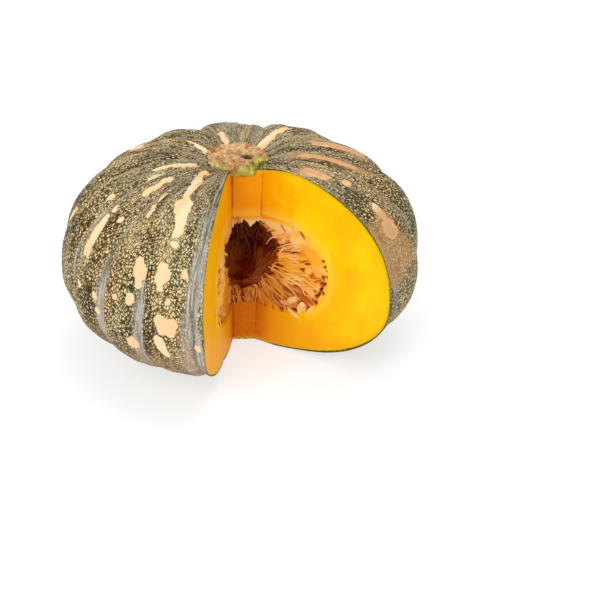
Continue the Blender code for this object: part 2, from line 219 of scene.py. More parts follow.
def put_points(piece, places):
    """Move a mesh's points."""
    piece.data.vertices.foreach_set("co", places.astype(np.float32).ravel())
    piece.data.update()


def keep(piece, name, values):
    """Store a number or a vector for each point, for the material to read."""
    kind, part = ('FLOAT', "value") if values.ndim == 1 else ('FLOAT_VECTOR', "vector")
    layer = piece.data.attributes.new(name, kind, 'POINT')
    layer.data.foreach_set(part, values.astype(np.float32).ravel())


def dress(piece, *materials):
    """Give a piece its materials, in order."""
    piece.data.materials.clear()
    for material in materials:
        piece.data.materials.append(material)


def newest(name):
    """The object that was just added, named."""
    piece = bpy.context.active_object
    piece.name = name
    piece.data.name = name
    return piece


def new_sphere(name, columns, rings):
    """A unit sphere at the origin, as a start for a round form."""
    bpy.ops.mesh.primitive_uv_sphere_add(segments=columns, ring_count=rings, radius=1.0, location=(0, 0, 0))
    return newest(name)


def ripples(places, wavelength, seed, waves=14):
    """Soft uneven noise between about -1 and 1, the same each run: waves in random directions."""
    draw = np.random.default_rng(seed)
    total = np.zeros(len(places))
    for _ in range(waves):
        direction = draw.normal(size=3)
        direction *= draw.uniform(0.7, 1.4) / (np.linalg.norm(direction) * wavelength)
        total += np.sin(math.tau * (places @ direction) + draw.uniform(0, math.tau))
    return total / math.sqrt(waves)


def sheet(x, y):
    """Points of a flat pattern, as ripples takes them."""
    return np.stack([x, y, x * 0], -1)


def around_axis(radius, azimuth, height):
    """Points at a distance from the fruit's axis, an azimuth and a height."""
    return np.stack([radius * np.cos(azimuth), radius * np.sin(azimuth), height], -1)


def off_axis(places):
    """Distance from each point to the fruit's axis."""
    return np.hypot(places[:, 0], places[:, 1])


def azimuth_of(places):
    """Azimuth of each point round the fruit's axis."""
    return np.arctan2(places[:, 1], places[:, 0])


def unit(vector):
    """A vector at length 1."""
    return vector / np.linalg.norm(vector)


def smooth_step(low, high, values):
    """0 below low, 1 above high, and a soft slope between."""
    share = np.clip((values - low) / (high - low), 0, 1)
    return share * share * (3 - 2 * share)


def fruit_profile(latitude):
    """Distance to the axis and height of a crest of the fruit."""
    side, rise = np.abs(np.cos(latitude)), np.sin(latitude)
    roundness = np.where(rise > 0, TOP_ROUNDNESS, BOTTOM_ROUNDNESS)
    reach = np.where(rise > 0, TOP_RISE, BOTTOM_DROP)
    radius = CREST_RADIUS * side ** (2 / roundness)
    height = WIDEST_HEIGHT + reach * np.sign(rise) * np.abs(rise) ** (2 / roundness)
    basin = BASIN_DEPTH * np.exp(-((radius / BASIN_WIDTH) ** 2))
    return radius, height - np.where(rise > 0, basin, 0)


GROOVE_TABLE = np.array([*GROOVES, (GROOVES[0][0] + 360, *GROOVES[0][1:])], float)
GROOVE_AZIMUTHS, BAND_WIDTHS, DEPTH_SHARES, UPPER_SHARES = GROOVE_TABLE.T


def rib_of(azimuth):
    """For azimuths in radians: the rib's number and the share of the way across it."""
    degrees = (np.degrees(azimuth) - GROOVE_AZIMUTHS[0]) % 360 + GROOVE_AZIMUTHS[0]
    rib = np.clip(np.searchsorted(GROOVE_AZIMUTHS, degrees, side="right") - 1, 0, len(GROOVES) - 1)
    width = GROOVE_AZIMUTHS[rib + 1] - GROOVE_AZIMUTHS[rib]
    return rib, np.clip((degrees - GROOVE_AZIMUTHS[rib]) / width, 0, 1)


def skin_points(azimuth, latitude, detail=1.0):
    """Points of the ribbed skin, with its small unevenness where detail is 1."""
    radius, height = fruit_profile(latitude)
    nudge = 0.001
    low, high = fruit_profile(latitude - nudge), fruit_profile(latitude + nudge)
    along_r, along_z = high[0] - low[0], high[1] - low[1]
    length = np.hypot(along_r, along_z) + 1e-12
    rib, share = rib_of(azimuth)
    groove = 1 - np.sin(math.pi * share) ** GROOVE_SHARPNESS
    groove = groove * np.where(share < 0.5, DEPTH_SHARES[rib], DEPTH_SHARES[rib + 1])
    depth = GROOVE_DEPTH * groove * np.clip(radius / RIB_FADE_RADIUS, 0, 1) ** 0.7
    if detail:
        around = around_axis(1, azimuth, latitude * 0.5)
        upper = smooth_step(0.1, 1.1, latitude)
        ridges = ripples(around * np.array([1, 1, 0.12]), 0.06, seed=3) * (0.25 + 0.45 * upper)
        dents = ripples(around, 0.45, seed=5) * 0.7
        depth = depth + detail * MM * (ridges + dents) * np.clip(radius / (40 * MM), 0, 1)
    return around_axis(radius - along_z / length * depth, azimuth, height + along_r / length * depth)


def core_corner(side, height):
    """Where a long cut face meets the narrow one: side 0 is the left, 1 the right."""
    share = height / CORE_TOP_HEIGHT
    x = CORE_X_AT_FLOOR[side] + (CORE_X_AT_TOP[side] - CORE_X_AT_FLOOR[side]) * share
    return np.stack([x, np.full_like(x, CORE_FRONT), height], -1)


def face_direction(side):
    """Level direction of a long cut face, outwards from the core."""
    azimuth = math.radians((LEFT_FACE_AZIMUTH, RIGHT_FACE_AZIMUTH)[side])
    return np.array([math.cos(azimuth), math.sin(azimuth), 0.0])


def face_points(side, reach, height):
    """Points on a long cut face, at a distance from the core and a height."""
    share = (reach / FACE_REACH)[:, None]
    near = core_corner(side, height)
    middle = core_corner(side, np.full_like(height, CORE_TOP_HEIGHT / 2))
    middle[:, 2] = height
    far = middle + face_direction(side) * FACE_REACH
    return near + (far - near) * share


def face_normal(side):
    """Level direction out of a long cut face, into the missing wedge."""
    x, y, _ = face_direction(side)
    return np.array([-y, x, 0.0]) if side == 0 else np.array([y, -x, 0.0])


def knife_waves(_, reach, height):
    """How far the knife's wobble and the flesh's grain stand out of a flat cut, alike on each side."""
    wobble = ripples(sheet(reach, height), 45 * MM, seed=8) * 0.35 * MM
    return wobble + ripples(sheet(reach * 0.2, height), 5 * MM, seed=9) * 0.08 * MM


def make_knife(name, relief, reach_to=FACE_REACH, below=CUT_BELOW, above=CUT_ABOVE, cuts=KNIFE_CUTS):
    """The removed wedge; relief(side, reach, height) says how far each face stands out into it."""
    bpy.ops.mesh.primitive_cube_add(size=1.0, location=(0, 0, 0))
    knife = newest(name)
    bpy.ops.object.mode_set(mode='EDIT')
    bpy.ops.mesh.select_all(action='SELECT')
    bpy.ops.mesh.subdivide(number_cuts=cuts)
    bpy.ops.object.mode_set(mode='OBJECT')
    across, outwards, up = (points_of(knife) + 0.5).T
    height = below + (above - below) * up
    reach = reach_to * outwards
    left, right = face_points(0, reach, height), face_points(1, reach, height)
    places = left + (right - left) * across[:, None]
    for side, on_face in ((0, across < 0.001), (1, across > 0.999)):
        lift = np.where(on_face, relief(side, reach, height), 0)
        places = places + lift[:, None] * face_normal(side)
    on_front = outwards < 0.001
    places[:, 1] -= np.where(on_front, relief(2, places[:, 0], height), 0)
    put_points(knife, places)
    knife.data.flip_normals()
    return knife


def depth_behind_cut(places):
    """Distance in metres from each point back to the cut faces; negative in the missing wedge."""
    behind = places[:, 1] - CORE_FRONT
    for side in (0, 1):
        off = -(places - core_corner(side, places[:, 2])) @ face_normal(side)
        behind = np.maximum(behind, off)
    return behind


def cavity_points(azimuth, latitude, grow=0.0):
    """Points on the wall of the seed cavity."""
    power = 2 / CAVITY_ROUNDNESS
    radius = (CAVITY_RADIUS + grow) * np.abs(np.cos(latitude)) ** power
    steep = np.abs(np.sin(latitude))
    dimple = CAVITY_DIMPLE * np.exp(-((radius / CAVITY_DIMPLE_WIDTH) ** 2))
    rise = (CAVITY_HALF_HEIGHT + grow) * steep ** power - dimple * steep
    return around_axis(radius, azimuth, CAVITY_CENTRE + np.sign(latitude) * rise)


def sphere_angles(piece):
    """Azimuth and latitude of each point of a unit sphere."""
    places = points_of(piece)
    return azimuth_of(places), np.arcsin(np.clip(places[:, 2], -1, 1))


def subtract(piece, cutter):
    """Take one solid out of another, and remove the cutter."""
    modifier = piece.modifiers.new("cut", 'BOOLEAN')
    modifier.operation = 'DIFFERENCE'
    modifier.object = cutter
    modifier.solver = 'MANIFOLD'
    only(piece)
    bpy.ops.object.modifier_apply(modifier=modifier.name)
    bpy.data.objects.remove(cutter, do_unlink=True)


def depth_below_skin(places):
    """Distance in mm from each point to the skin, along the meridian through it."""
    azimuth, radius, middle = azimuth_of(places), off_axis(places), latitude_of(places)
    nearest = np.full(len(places), 1.0)
    for offset in np.radians(np.linspace(-9, 9, 37)):
        latitude = np.clip(middle + offset, -1.57, 1.57)
        skin = skin_points(azimuth, latitude, detail=0.0)
        away = np.hypot(off_axis(skin) - radius, skin[:, 2] - places[:, 2])
        nearest = np.minimum(nearest, away)
    return nearest / MM


def distance_to_cavity(places):
    """Distance in mm from each point to the wall of the seed cavity."""
    radius = off_axis(places)
    nearest = np.full(len(places), 1.0)
    for wall_radius, _, height in cavity_points(0.0, np.radians(np.linspace(-89, 89, 120))):
        nearest = np.minimum(nearest, np.hypot(wall_radius - radius, height - places[:, 2]))
    return nearest / MM


TABLE_LATITUDES = np.radians(np.linspace(-90, 90, 721))
CREST_STEPS = np.hypot(*np.diff(fruit_profile(TABLE_LATITUDES)))
TABLE_LENGTHS = np.concatenate([[0], np.cumsum(CREST_STEPS)]) / MM


def length_at(latitude):
    """Length in mm along a crest, from the pole at the floor up to a latitude."""
    return np.interp(latitude, TABLE_LATITUDES, TABLE_LENGTHS)


def latitude_of(places):
    """The latitude at which the ray from the middle through each point meets the crest's profile."""
    table = np.radians(np.linspace(-89.9, 89.9, 721))
    radius, height = fruit_profile(table)
    table_angle = np.maximum.accumulate(np.arctan2(height - WIDEST_HEIGHT, radius))
    angle = np.arctan2(places[:, 2] - WIDEST_HEIGHT, off_axis(places))
    return np.interp(angle, table_angle, table)


def mark_distance(marks, azimuth, latitude):
    """How far in mm each point lies inside the nearest of a list of marks; negative outside."""
    inside = np.full(len(azimuth), -50.0)
    shrink = np.maximum(np.cos(latitude) ** (2 / TOP_ROUNDNESS), 0.12)
    here = length_at(latitude)
    for half_width, path in marks:
        last = len(path) - 2
        for index, (start, end) in enumerate(zip(path, path[1:])):
            middle = math.cos(math.radians(start[1] + end[1]) / 2)
            run_x = math.radians(end[0] - start[0]) * CREST_RADIUS / MM * middle
            run_y = length_at(math.radians(end[1])) - length_at(math.radians(start[1]))
            trim = min(0.45, 0.8 * half_width / math.hypot(run_x, run_y))
            first = trim if index == 0 else 0.0
            final = 1 - trim if index == last else 1.0
            turn = (azimuth - math.radians(start[0]) + math.pi) % math.tau - math.pi
            x = turn * shrink * CREST_RADIUS / MM
            y = here - length_at(math.radians(start[1]))
            share = np.clip((x * run_x + y * run_y) / (run_x ** 2 + run_y ** 2), first, final)
            away = np.hypot(x - run_x * share, y - run_y * share)
            inside = np.maximum(inside, half_width - away)
    return inside


def mark_skin(fruit):
    """Store on the fruit what its skin's pattern follows: growth, grooves, blotches and russet."""
    places = points_of(fruit)
    azimuth, latitude = azimuth_of(places), latitude_of(places)
    reach = CREST_RADIUS / MM
    keep(fruit, "grown", around_axis(reach, azimuth, length_at(latitude)))
    rib, share = rib_of(azimuth)
    rib_width = np.radians(GROOVE_AZIMUTHS[rib + 1] - GROOVE_AZIMUTHS[rib]) * reach
    widths = np.where(share < 0.5, BAND_WIDTHS[rib], BAND_WIDTHS[rib + 1])
    upper = np.where(share < 0.5, UPPER_SHARES[rib], UPPER_SHARES[rib + 1])
    widths = widths * (1 + (upper - 1) * smooth_step(math.radians(12), math.radians(32), latitude))
    keep(fruit, "band", 1 - np.minimum(share, 1 - share) * rib_width / widths)
    keep(fruit, "blotch", mark_distance(BLOTCHES, azimuth, latitude))
    keep(fruit, "russet", mark_distance(RUSSETS, azimuth, latitude))
    keep(fruit, "rise", np.sin(latitude))


def make_fruit():
    """Rind and flesh in one piece: the ribbed skin, the three cut faces and the seed cavity."""
    fruit = new_sphere("pumpkin_fruit", SKIN_COLUMNS, SKIN_RINGS)
    azimuth, latitude = sphere_angles(fruit)
    turns = (azimuth / math.tau) % 1.0 * len(GROOVES)
    azimuth = np.radians(np.interp(turns, np.arange(len(GROOVES) + 1), GROOVE_AZIMUTHS))
    put_points(fruit, skin_points(azimuth, latitude))
    cavity = new_sphere("cavity", CAVITY_COLUMNS, CAVITY_RINGS)
    put_points(cavity, cavity_points(*sphere_angles(cavity)))
    subtract(fruit, cavity)
    flatten_base(fruit)
    subtract(fruit, make_knife("knife", knife_waves))
    places = points_of(fruit)
    keep(fruit, "depth", depth_below_skin(places))
    keep(fruit, "pulp_side", distance_to_cavity(places))
    to_left, to_right = [off_axis(places - core_corner(side, places[:, 2])) for side in (0, 1)]
    # distance to the notch's inner corners, which the flesh's painted shade follows
    keep(fruit, "crease", np.minimum(to_left, to_right + 0.25 * MM) / MM)
    mark_skin(fruit)
    dress(fruit, make_rind_material(), make_flesh_material())
    set_cut_faces(fruit)
    finish_piece(fruit, ["fruit"], sharp_angle=35)


def flatten_base(fruit):
    """Slice off what reaches below the floor, which leaves the flat spot that the fruit stands on."""
    bpy.ops.mesh.primitive_cube_add(size=2 * BELOW_REACH, location=(0, 0, -BELOW_REACH))
    bpy.ops.object.transform_apply(location=True)
    subtract(fruit, newest("below"))


def set_cut_faces(fruit):
    """Give the flesh's material to every face whose points lie under the skin or that a knife made."""
    mesh = fruit.data
    depth = read_rows(mesh.attributes["depth"].data, "value", 1)[:, 0]
    normals, centres = read_rows(mesh.polygons, "normal"), read_rows(mesh.polygons, "center")
    flesh = np.array([max(depth[index] for index in face.vertices) > FLESH_DEPTH for face in mesh.polygons])
    for side in (0, 1):
        off = (centres - core_corner(side, centres[:, 2])) @ face_normal(side)
        level = np.abs(normals @ face_normal(side)) > CUT_LEVEL
        flesh[(np.abs(off) < KNIFE_SLACK) & level & (centres[:, 1] < 0)] = True
    flesh[(np.abs(centres[:, 1] - CORE_FRONT) < CORE_SLACK) & (normals[:, 1] < -CUT_LEVEL)] = True
    flesh[centres[:, 2] < BASE_SLACK] = False
    mesh.polygons.foreach_set("material_index", flesh.astype(np.int32))


def finish_piece(piece, nodes=(), sharp_angle=None):
    """Shade a piece smooth, except over sharp edges, and let it ride on the body and stand for its solids."""
    only(piece)
    if sharp_angle:
        bpy.ops.object.shade_smooth_by_angle(angle=math.radians(sharp_angle))
    else:
        bpy.ops.object.shade_smooth()
    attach(piece, "root")
    if nodes:
        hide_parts(*nodes)


class Finish:
    """A material in the making: short calls that add its nodes and give their sockets."""

    def __init__(self, name):
        self.material = bpy.data.materials.new(name)
        self.material.use_nodes = True
        self.tree = self.material.node_tree
        self.shader = self.tree.nodes["Principled BSDF"]

    def put(self, node, inputs):
        """Link a node's inputs to sockets, or set them to plain values."""
        for name, value in inputs.items():
            if isinstance(value, bpy.types.NodeSocket):
                self.tree.links.new(value, node.inputs[name])
            else:
                node.inputs[name].default_value = value

    def add(self, kind, output, inputs, **settings):
        """Add a node with its settings and its inputs, by name or number, and give one output."""
        node = self.tree.nodes.new(kind)
        for name, value in settings.items():
            setattr(node, name, value)
        self.put(node, inputs)
        return node.outputs[output]

    def calculate(self, operation, *values):
        """A product or other operation on numbers or sockets."""
        return self.add("ShaderNodeMath", 0, dict(enumerate(values)), operation=operation)

    def times(self, first, second):
        """A product."""
        return self.calculate('MULTIPLY', first, second)

    def plus(self, base, extra, share):
        """A base and a share of something more."""
        return self.calculate('MULTIPLY_ADD', extra, share, base)

    def mix(self, first, second, *shares):
        """The first colour with the second mixed in, by the product of the shares."""
        first, second = [colour(tone) if isinstance(tone, str) else tone for tone in (first, second)]
        factor = shares[0]
        for share in shares[1:]:
            factor = self.times(factor, share)
        return self.add("ShaderNodeMix", 2, {0: factor, 6: first, 7: second}, data_type='RGBA')

    def paint(self, base, *layers):
        """A base under some layers, each a colour and its shares."""
        for tone, *shares in layers:
            base = self.mix(base, tone, *shares)
        return base

    def ramp(self, value, low, high):
        """A soft step from 0 at low to 1 at high."""
        limits = {"Value": value, "From Min": low, "From Max": high}
        return self.add("ShaderNodeMapRange", "Result", limits, interpolation_type='SMOOTHSTEP')

    def stretch(self, vector, upright):
        """A vector with its third axis scaled."""
        return self.add("ShaderNodeMapping", "Vector", {"Vector": vector, "Scale": (1, 1, upright)})

    def noise(self, vector, scale, detail=3.0, roughness=0.55, upright=1.0):
        """A noise pattern, scale in cells per unit of the vector, which is stretched first."""
        if upright != 1.0:
            vector = self.stretch(vector, upright)
        inputs = {"Vector": vector, "Scale": scale, "Detail": detail, "Roughness": roughness}
        return self.add("ShaderNodeTexNoise", "Fac", inputs)

    def wave(self, vector, scale, *detail, **upright):
        """A noise pattern that swings about 0."""
        return self.calculate('SUBTRACT', self.noise(vector, scale, *detail, **upright), 0.5)

    def read(self, name, output="Fac"):
        """A value stored on the mesh."""
        return self.add("ShaderNodeAttribute", output, {}, attribute_name=name, attribute_type='GEOMETRY')

    def place(self):
        """The place on the piece, in metres."""
        return self.add("ShaderNodeTexCoord", "Object", {})

    def axis(self, vector, letter):
        """One coordinate of a vector."""
        return self.add("ShaderNodeSeparateXYZ", letter, {"Vector": vector})

    def close(self, tone, roughness, specular=0.5, bump=(), soft=()):
        """The finished material; bump is pattern, strength and distance, soft is weight, radius and scale."""
        values = {"Base Color": tone, "Roughness": roughness, "Specular IOR Level": specular}
        values.update(zip(("Subsurface Weight", "Subsurface Radius", "Subsurface Scale"), soft))
        if bump:
            settings = dict(zip(("Height", "Strength", "Distance"), bump))
            values["Normal"] = self.add("ShaderNodeBump", "Normal", settings)
        self.put(self.shader, values)
        return self.material


def make_rind_material():
    """Waxy rind: a dark olive and brown net round cream flecks, grey along the grooves with painted shade in
    them, cream blotches.
    """
    rind = Finish("waxy rind")
    grown = rind.read("grown", "Vector")
    band, rise = rind.read("band"), rind.read("rise")

    # The net and its flecks
    cells = fleck_cells(rind, grown)
    hue = rind.ramp(rind.noise(grown, 0.035, upright=0.4), 0.38, 0.62)
    net = rind.mix("#3a2805", "#302c0c", hue)
    olive = rind.mix("#7c5c28", "#6a5f2e", hue)
    cream = rind.mix("#f2d9a4", "#e0d0a4", hue)
    cream = rind.mix(cream, "#b09056", rind.ramp(rind.noise(grown, 0.7, 1.0), 0.46, 0.66))
    skin = rind.mix(net, olive, rind.ramp(cells, 0.03, 0.15))
    flecks = rind.ramp(cells, 0.13, 0.25)
    skin = rind.mix(skin, cream, flecks)

    # The grey bloom along the grooves, and painted shade that makes it dark green in places on the upper half
    streaks = rind.noise(grown, 0.9, 4.0, 0.65, upright=0.08)
    groove_shade_patches = rind.ramp(rind.noise(grown, 0.022, 2.0, upright=0.45), 0.5, 0.6)
    bloom = rind.paint(
        "#827a6a",
        ("#cfcac0", rind.ramp(streaks, 0.38, 0.62)),
        ("#d2c8b0", flecks, 0.45),
        # painted shade: dark olive patches in the grooves on the upper half
        ("#414428", groove_shade_patches, rind.ramp(rise, 0.15, 0.5), 0.75),
    )
    level = rind.plus(band, rind.wave(grown, 0.22, 4.0, 0.6, upright=0.12), 2.6)
    level = rind.plus(level, rind.wave(grown, 0.02, 1.0, upright=0.5), 1.6)

    # Brushed streaks round the stem, russet, and the blotches
    brushed = rind.noise(grown, 0.55, 4.0, 0.7, upright=0.14)
    top = rind.ramp(rise, 0.62, 0.92)
    ragged = rind.wave(grown, 0.16, 4.0, 0.62)
    russet = rind.ramp(rind.plus(rind.read("russet"), ragged, 16.0), -2.0, 5.0)
    warm = rind.mix("#f9d8ae", "#f2ca98", rind.ramp(rind.noise(grown, 0.03, 1.0), 0.35, 0.65))
    blotch = rind.plus(rind.read("blotch"), ragged, 6.5)
    skin = rind.paint(
        skin,
        (bloom, rind.ramp(level, -0.4, 0.7), 0.88),
        # painted shade: a darker line down the middle of each groove
        ("#4a432c", rind.ramp(band, 0.8, 1.0), 0.3),
        ("#b0a28c", top, rind.ramp(brushed, 0.5, 0.6), 0.75),
        ("#3f3a22", top, rind.ramp(brushed, 0.47, 0.38), 0.7),
        ("#8a683a", rind.ramp(rise, 0.0, -0.5), rind.ramp(rind.noise(grown, 0.08), 0.3, 0.6), 0.75),
        ("#c8985e", russet, 0.58),
        ("#b0642a", rind.ramp(rind.noise(grown, 0.4), 0.54, 0.64), russet, 0.55),
        (rind.mix(warm, "#c8905c", russet, 0.8), rind.ramp(blotch, -0.1, 0.5)),
    )
    relief = rind.plus(rind.times(flecks, 0.6), streaks, 0.8)
    return rind.close(skin, rind.plus(0.46, streaks, 0.22), 0.22, (relief, 0.35, 0.6 * MM))


def fleck_cells(rind, grown):
    """The rind's cell pattern: near 0 on the net between the flecks, above 0.2 on a fleck."""
    warp = rind.add("ShaderNodeTexNoise", "Color", {"Vector": grown, "Scale": 0.4, "Detail": 2.0})
    bend = {0: warp, 1: (2.0, 2.0, 2.0), 2: grown}
    bent = rind.add("ShaderNodeVectorMath", "Vector", bend, operation='MULTIPLY_ADD')
    drawn = rind.stretch(bent, 0.6)
    grid = {"Vector": drawn, "Scale": 0.62, "Randomness": 1.0}
    cells = rind.add("ShaderNodeTexVoronoi", "Distance", grid, feature='DISTANCE_TO_EDGE')
    cells = rind.plus(cells, rind.wave(grown, 0.05, upright=0.5), 0.45)
    return rind.plus(cells, rind.wave(drawn, 1.1, 2.0), 0.16)


def flesh_tone_and_shade(cut, place):
    """The flesh's colour: deep yellow, and painted shade that makes it more orange near the axis, low down
    and on the left face.
    """
    level_place = {0: cut.stretch(place, 0)}
    near_axis = cut.add("ShaderNodeVectorMath", "Value", level_place, operation='LENGTH')
    height = cut.axis(place, "Z")
    return cut.paint(
        "#fbd206",
        ("#f7bd00", cut.ramp(cut.noise(place, 28, 2.0), 0.35, 0.65)),
        # painted shade: more orange near the axis and low down, deep in the notch, and red orange where both
        # meet
        ("#f09000", cut.ramp(near_axis, 50 * MM, 12 * MM), 0.85),
        ("#ef8d00", cut.ramp(height, 45 * MM, 5 * MM), 0.5),
        ("#c45a00", cut.ramp(near_axis, 28 * MM, 14 * MM), cut.ramp(height, 42 * MM, 24 * MM), 0.6),
        # painted shade: more orange on the left face
        ("#f09400", cut.ramp(cut.axis(place, "X"), -6 * MM, -12 * MM), 0.55),
    )


def make_flesh_material():
    """Moist squash flesh, with a green line under the rind, a pale ring round the cavity and painted shade
    along the notch's inner corners.
    """
    cut = Finish("cut flesh")
    place = cut.place()
    grain = cut.noise(place, 90, 4.0, upright=2.5)
    ring = cut.ramp(cut.plus(cut.read("pulp_side"), cut.wave(place, 60), 6.0), 8.5, 2.0)
    # mask for painted shade along the notch's inner corners, made ragged by noise
    stain = cut.plus(cut.read("crease"), cut.noise(place, 70), 2.0)
    rim = cut.plus(cut.read("depth"), cut.noise(place, 400), 0.8)
    flesh = cut.paint(
        flesh_tone_and_shade(cut, place),
        ("#e88a00", cut.ramp(cut.noise(place, 300, upright=0.12), 0.55, 0.75), 0.3),
        ("#ffd040", cut.ramp(grain, 0.5, 0.8), 0.2),
        ("#ffd650", ring, cut.ramp(cut.axis(place, "Z"), 26 * MM, 46 * MM), 0.4),
        # painted shade: dark red brown along the notch's inner corners
        ("#a03a00", cut.ramp(stain, 2.2, 0.9), 0.85),
        ("#d9b414", cut.ramp(rim, 4.5, 1.4)),
        ("#4b4a12", cut.ramp(rim, 2.0, 1.1)),
    )
    return cut.close(flesh, 0.5, 0.08, (grain, 0.25, 0.4 * MM), soft=(0.1, (1.0, 0.6, 0.08), 4 * MM))


def stem_points(azimuth, latitude):
    """Points of the stem's stub: an upright wall and a low dome with a pit in it."""
    degrees = np.degrees(latitude)
    wave = 1 + 0.07 * np.cos(STEM_RIBS * azimuth) + 0.03 * np.sin(3 * azimuth)
    dome = np.clip(np.sin(latitude), 0, 1)
    under = np.clip((degrees + 90) / (90 - STEM_WALL), 0, 1)
    share = np.where(degrees < 0, under, np.clip(np.cos(latitude), 0, 1) ** 0.6)
    wall = STEM_BOTTOM + (STEM_SHOULDER - STEM_BOTTOM) * np.clip(degrees / STEM_WALL + 1, 0, 1)
    height = np.where(degrees < 0, wall, STEM_SHOULDER + STEM_DOME * dome ** 0.7)
    reach = STEM_RADIUS * wave * share
    x = STEM_CENTRE[0] + reach * np.cos(azimuth)
    y = STEM_CENTRE[1] + reach * STEM_DEPTH_RATIO * np.sin(azimuth)
    pit = np.exp(-((np.hypot(x - STEM_PIT[0], y - STEM_PIT[1]) / STEM_PIT_RADIUS) ** 2))
    height = height - np.where(degrees > 0, STEM_PIT_DEPTH * pit, 0)
    return np.stack([x, y, height], -1)


def make_stem():
    """The corky stub of the stem, trimmed back where the wedge passed it at the front."""
    stem = new_sphere("pumpkin_stem", FINE_COLUMNS, FINE_RINGS)
    azimuth, latitude = sphere_angles(stem)
    places = stem_points(azimuth, latitude)
    out = places - np.array([*STEM_CENTRE, STEM_HEART])
    out /= np.linalg.norm(out, axis=1)[:, None] + 1e-9
    cork = smooth_step(-0.5, 0.4, latitude)
    lumps = 1.3 - np.abs(ripples(places, 9 * MM, seed=21)) * 2.2
    lumps = lumps - np.abs(ripples(places, 3.5 * MM, seed=22)) * 0.6
    flutes = ripples(places * np.array([1, 1, 0.1]), 3 * MM, seed=23) * 0.3
    places = places + out * (lumps * cork + flutes * (1 - cork))[:, None] * MM
    places[:, 2] += 1.4 * MM * smooth_step(-5 * MM, 18 * MM, places[:, 1]) * smooth_step(0, 0.6, latitude)
    foot = STEM_HEART + 0.2 * MM + 0.32 * np.abs(places[:, 0] - 3 * MM)
    places[:, 2] = np.maximum(places[:, 2], foot)
    stands_out = -depth_behind_cut(places)
    middle = 1 - np.abs(places[:, 2] - 129 * MM) / (6 * MM)
    swell = (0.5 + 1.3 * np.clip(middle, 0, 1) + 0.4 * ripples(places, 4 * MM, seed=24)) * MM
    places[:, 1] += np.clip(stands_out - swell, 0, None)
    put_points(stem, places)
    green = 14 * ripples(places, 6 * MM, seed=25) - 26 - np.degrees(latitude)
    for middle, half_width, rise in STEM_GREENS:
        green = green + rise * np.exp(-((np.degrees(azimuth) - middle) / half_width) ** 2)
    keep(stem, "green", green)
    keep(stem, "pit", off_axis(places - np.array([*STEM_PIT, 0])) / MM)
    dress(stem, make_cork_material())
    finish_piece(stem, ["stem"])


def hollow_points(azimuth, latitude, detail=1.0):
    """Points on the ragged wall of the open hollow in the pulp."""
    around = around_axis(1, azimuth, np.sin(latitude))
    taper = 1 - HOLLOW_TAPER * np.clip(-np.sin(latitude), 0, 1)
    lump = np.sin(3 * azimuth + 4 * latitude) + 0.6 * np.sin(7 * azimuth - 5 * latitude)
    ragged = ripples(around, 0.55, seed=31) * 4.2 + np.abs(ripples(around, 0.18, seed=32)) * 2.6
    folds = np.abs(ripples(around * np.array([1, 1, 0.25]), 0.1, seed=33)) * 2.0
    radius = HOLLOW_RADIUS * taper + (2.0 * lump + detail * (ragged - folds - 1.0)) * MM
    radius = radius * np.abs(np.cos(latitude)) ** 0.9
    height = HOLLOW_CENTRE + HOLLOW_HALF_HEIGHT * np.sin(latitude)
    height = height + detail * (ragged * 0.5 - 1.0) * MM * np.abs(np.sin(latitude))
    return around_axis(radius, azimuth, height)


def pocket_depth(side, reach, height):
    """How deep in mm the dark pockets of the pulp go at points on a long cut face, given in mm."""
    deepest = np.zeros(len(reach))
    for centre_s, centre_z, half_length, half_width, lean in POCKETS[side]:
        turn = math.radians(lean)
        along = (reach - centre_s) * math.cos(turn) + (height - centre_z) * math.sin(turn)
        across = -(reach - centre_s) * math.sin(turn) + (height - centre_z) * math.cos(turn)
        away = np.hypot(along / half_length, across / half_width)
        deepest = np.maximum(deepest, 4.5 * (1 - smooth_step(0.55, 1.15, away)))
    return deepest


def pulp_relief(side, reach, height):
    """How far the pulp's strands stand out of the cut: ridges that run from the hollow outwards."""
    reach, height = reach / MM, height / MM
    centre = FIBRE_CENTRES[min(side, 1)]
    angle = np.arctan2(height - centre[1], reach - centre[0])
    distance = np.hypot(height - centre[1], reach - centre[0])
    flat = sheet(reach, height)
    bend = ripples(flat, 22, seed=41 + side) * 0.05 + ripples(flat, 7, seed=42 + side) * 0.012
    across = (angle + bend) * 38
    thick = ripples(sheet(across, distance * 0.09), 6.0, seed=43 + side)
    strands = ripples(sheet(across, distance * 0.12), 3.0, seed=44 + side)
    fine = ripples(sheet(across, distance * 0.16), 1.4, seed=47 + side)
    tears = ripples(flat, 8, seed=52 + side)
    calm = smooth_step(0.15, 0.85, ripples(flat, 20, seed=50 + side) + (height - 62) / 40 + (reach - 25) / 60)
    wild = 1 - calm
    relief = 0.35 - 1.3 * wild * np.abs(thick) - 0.75 * (0.25 + 0.75 * wild) * np.abs(strands)
    relief = relief - 0.25 * (0.4 + 0.6 * wild) * np.abs(fine) - 1.6 * wild * smooth_step(0.7, 1.5, tears)
    near_flesh = cavity_gap(side, reach, height)
    relief = relief * smooth_step(0.3, 3.0, near_flesh) - 0.15
    if side < 2:
        relief = relief - pocket_depth(side, reach, height)
    return relief * MM


def cavity_gap(side, reach, height):
    """Distance in mm from points on a cut face in to the cavity's wall."""
    if side < 2:
        places = face_points(side, reach * MM, height * MM)
    else:
        places = np.stack([reach * MM, np.full_like(reach, CORE_FRONT), height * MM], -1)
    radius = off_axis(places) / (CAVITY_RADIUS - 0.5 * MM)
    rise = (height * MM - CAVITY_CENTRE) / CAVITY_HALF_HEIGHT
    level = (radius ** CAVITY_ROUNDNESS + np.abs(rise) ** CAVITY_ROUNDNESS) ** (1 / CAVITY_ROUNDNESS)
    return (1 - level) * 45


def soak(piece):
    """Store what the pulp's colours follow, and give the piece their material."""
    keep(piece, "cut_depth", depth_behind_cut(points_of(piece)) / MM)
    keep(piece, "flesh_gap", distance_to_cavity(points_of(piece)))
    dress(piece, make_pulp_material())


